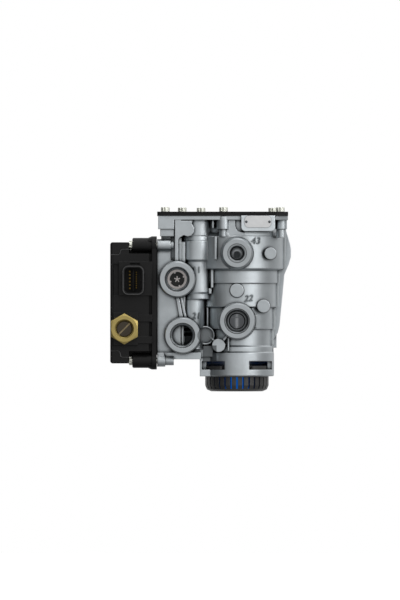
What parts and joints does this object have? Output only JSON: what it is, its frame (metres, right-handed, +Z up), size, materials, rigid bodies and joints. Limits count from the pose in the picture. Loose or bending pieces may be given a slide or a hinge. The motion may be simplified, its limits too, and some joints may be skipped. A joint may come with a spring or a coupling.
{
  "type": "trailer control valve",
  "caption": "Electro-pneumatic trailer control valve: cast aluminium relay valve block, threaded ports on its front, black control unit on its left side.",
  "frame": {"origin": "centre of the rectangular mounting hole pattern, in the plane of the back mounting faces", "axes": "+X to the right seen from the ports, +Y out of the back mounting face, +Z up, away from the silencer"},
  "size_m": [0.1815, 0.121, 0.1847],
  "materials": {
    "cast_aluminium": "die cast, matt",
    "machined_aluminium": "machined",
    "black_plastic": "fine moulded grain",
    "grey_plastic": "moulded",
    "blue_filter": "fine mesh",
    "cover_black": "black coating, satin",
    "plated_steel": "zinc plated",
    "spring_steel": "drawn wire",
    "nameplate_silver": "brushed, bare",
    "brass": "machined",
    "plug_bronze": "dark, oxidised",
    "contact_gold": "gold plated",
    "rubber": "smooth",
    "coil_plastic": "moulded",
    "magnet_iron": "turned",
    "board_green": "coated"
  },
  "bodies": {
    "housing": {"valve_housing": "cast_aluminium", "top_cover": "cover_black", "cover_seal": "rubber", "cover_screws": "plated_steel", "nameplate": "nameplate_silver", "nameplate_rivets": "plated_steel", "inlet_spring": "spring_steel", "valve_guide": "machined_aluminium", "guide_seal": "rubber", "guide_circlip": "spring_steel", "silencer_cap": "black_plastic", "silencer_element": "blue_filter", "port_strainer": "grey_plastic", "throttle_spring": "spring_steel", "throttle_cap": "machined_aluminium", "control_housing": "black_plastic", "control_lid": "black_plastic", "control_gasket": "rubber", "control_screws": "plated_steel", "pins_wide": "contact_gold", "pins_narrow": "contact_gold", "test_fitting": "brass", "fitting_plug": "plug_bronze", "valve_block": "coil_plastic", "circuit_board": "board_green", "pressure_sensor": "magnet_iron", "solenoid_coil_1": "coil_plastic", "solenoid_core_1": "magnet_iron", "armature_spring_1": "spring_steel", "solenoid_coil_2": "coil_plastic", "solenoid_core_2": "magnet_iron", "armature_spring_2": "spring_steel", "solenoid_coil_3": "coil_plastic", "solenoid_core_3": "magnet_iron", "armature_spring_3": "spring_steel"},
    "relay_piston": {"relay_piston": "machined_aluminium", "piston_seal": "rubber", "stem_seal": "rubber"},
    "inlet_valve": {"inlet_valve": "machined_aluminium"},
    "throttle_piston": {"throttle_piston": "machined_aluminium", "throttle_seal": "rubber"},
    "armature_1": {"solenoid_armature_1": "magnet_iron"},
    "armature_2": {"solenoid_armature_2": "magnet_iron"},
    "armature_3": {"solenoid_armature_3": "magnet_iron"}
  },
  "joints": [
    {"name": "relay_piston_slide", "type": "slide", "parent": "housing", "child": "relay_piston", "axis": [0, 0, -1], "range_m": [0, 0.003], "stiffness_N_per_m": 2000, "springref_m": -0.003, "deforming": ["inlet_spring"]},
    {"name": "inlet_valve_slide", "type": "slide", "parent": "housing", "child": "inlet_valve", "axis": [0, 0, -1], "range_m": [0, 0.003]},
    {"name": "throttle_slide", "type": "slide", "parent": "housing", "child": "throttle_piston", "axis": [0, 0, -1], "range_m": [0, 0.003], "stiffness_N_per_m": 1500, "springref_m": -0.003, "deforming": ["throttle_spring"]},
    {"name": "armature_lift_1", "type": "slide", "parent": "housing", "child": "armature_1", "axis": [0, 0, 1], "range_m": [0, 0.0008], "stiffness_N_per_m": 600, "springref_m": -0.003, "deforming": ["armature_spring_1"]},
    {"name": "armature_lift_2", "type": "slide", "parent": "housing", "child": "armature_2", "axis": [0, 0, 1], "range_m": [0, 0.0008], "stiffness_N_per_m": 600, "springref_m": -0.003, "deforming": ["armature_spring_2"]},
    {"name": "armature_lift_3", "type": "slide", "parent": "housing", "child": "armature_3", "axis": [0, 0, 1], "range_m": [0, 0.0008], "stiffness_N_per_m": 600, "springref_m": -0.003, "deforming": ["armature_spring_3"]}
  ],
  "couplings": [
    {"joint": "inlet_valve_slide", "follows": "relay_piston_slide", "ratio": 1}
  ]
}
